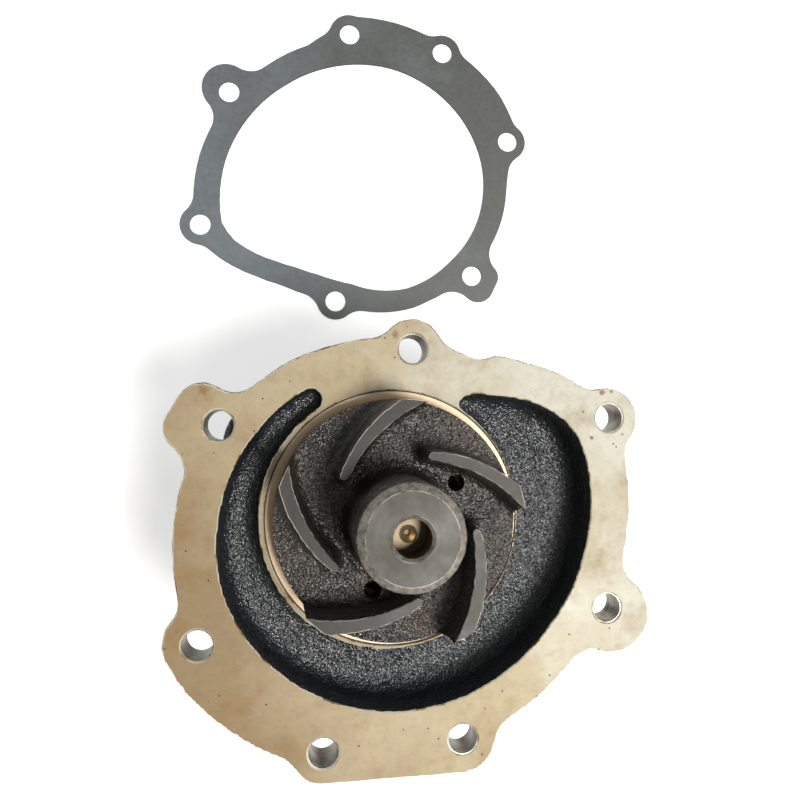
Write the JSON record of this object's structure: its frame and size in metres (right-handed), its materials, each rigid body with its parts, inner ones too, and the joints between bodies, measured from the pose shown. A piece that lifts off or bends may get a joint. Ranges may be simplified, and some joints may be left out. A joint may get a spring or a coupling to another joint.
{
  "type": "engine water pump",
  "caption": "Engine coolant pump: cast body with a spiral volute and bolting flange, open impeller on a sealed bearing shaft, drive hub, and its loose steel gasket.",
  "frame": {"origin": "the shaft's axis at the drive hub's front face, on which the pump stands", "axes": "+Z along the shaft towards the impeller and the engine; +X towards the volute's outlet side; the gasket lies towards +Y"},
  "size_m": [0.1653, 0.2953, 0.1425],
  "materials": {
    "casting": "sand cast and dipped black, with its mounting face machined and left oiled",
    "bearing_steel": "ground",
    "bearing_seal": "moulded rubber",
    "spring_steel": "phosphated",
    "rolling_steel": "polished",
    "cage_plastic": "moulded",
    "shaft_steel": "ground, with a turned end",
    "slinger_steel": "pressed",
    "seal_brass": "drawn",
    "stainless_wire": "drawn wire",
    "seal_rubber": "moulded rubber",
    "carbon": "lapped carbon",
    "ceramic": "lapped ceramic",
    "impeller_iron": "sand cast, with its blade tops and hub turned",
    "hub_steel": "forged and turned, oiled black",
    "gasket_steel": "rolled sheet with a dull coating"
  },
  "bodies": {
    "housing": {"pump_body": "casting", "bearing_outer_race": "bearing_steel", "bearing_front_seal": "bearing_seal", "bearing_rear_seal": "bearing_seal", "bearing_snap_ring": "spring_steel", "seal_cup": "seal_brass", "seal_spring": "stainless_wire", "seal_bellows": "seal_rubber", "carbon_ring": "carbon"},
    "rotor": {"shaft": "shaft_steel", "slinger": "slinger_steel", "impeller": "impeller_iron", "ceramic_seat": "ceramic", "seat_rubber": "seal_rubber", "drive_hub": "hub_steel"},
    "ball_set": {"bearing_balls": "rolling_steel", "ball_cage": "cage_plastic"},
    "roller_set": {"bearing_rollers": "rolling_steel", "roller_cage": "cage_plastic"},
    "gasket": {"mounting_gasket": "gasket_steel"}
  },
  "joints": [
    {"name": "rotor_spin", "type": "hinge", "parent": "housing", "child": "rotor", "pos_m": [0, 0, 0], "axis": [0, 0, 1], "continuous": true},
    {"name": "ball_orbit", "type": "hinge", "parent": "housing", "child": "ball_set", "pos_m": [0, 0, 0], "axis": [0, 0, 1], "continuous": true},
    {"name": "roller_orbit", "type": "hinge", "parent": "housing", "child": "roller_set", "pos_m": [0, 0, 0], "axis": [0, 0, 1], "continuous": true},
    {"name": "gasket_lift", "type": "slide", "parent": "housing", "child": "gasket", "axis": [0, 0, 1], "range_m": [0, 0.15]}
  ],
  "couplings": [
    {"joint": "ball_orbit", "follows": "rotor_spin", "ratio": 0.3431},
    {"joint": "roller_orbit", "follows": "rotor_spin", "ratio": 0.3749}
  ]
}
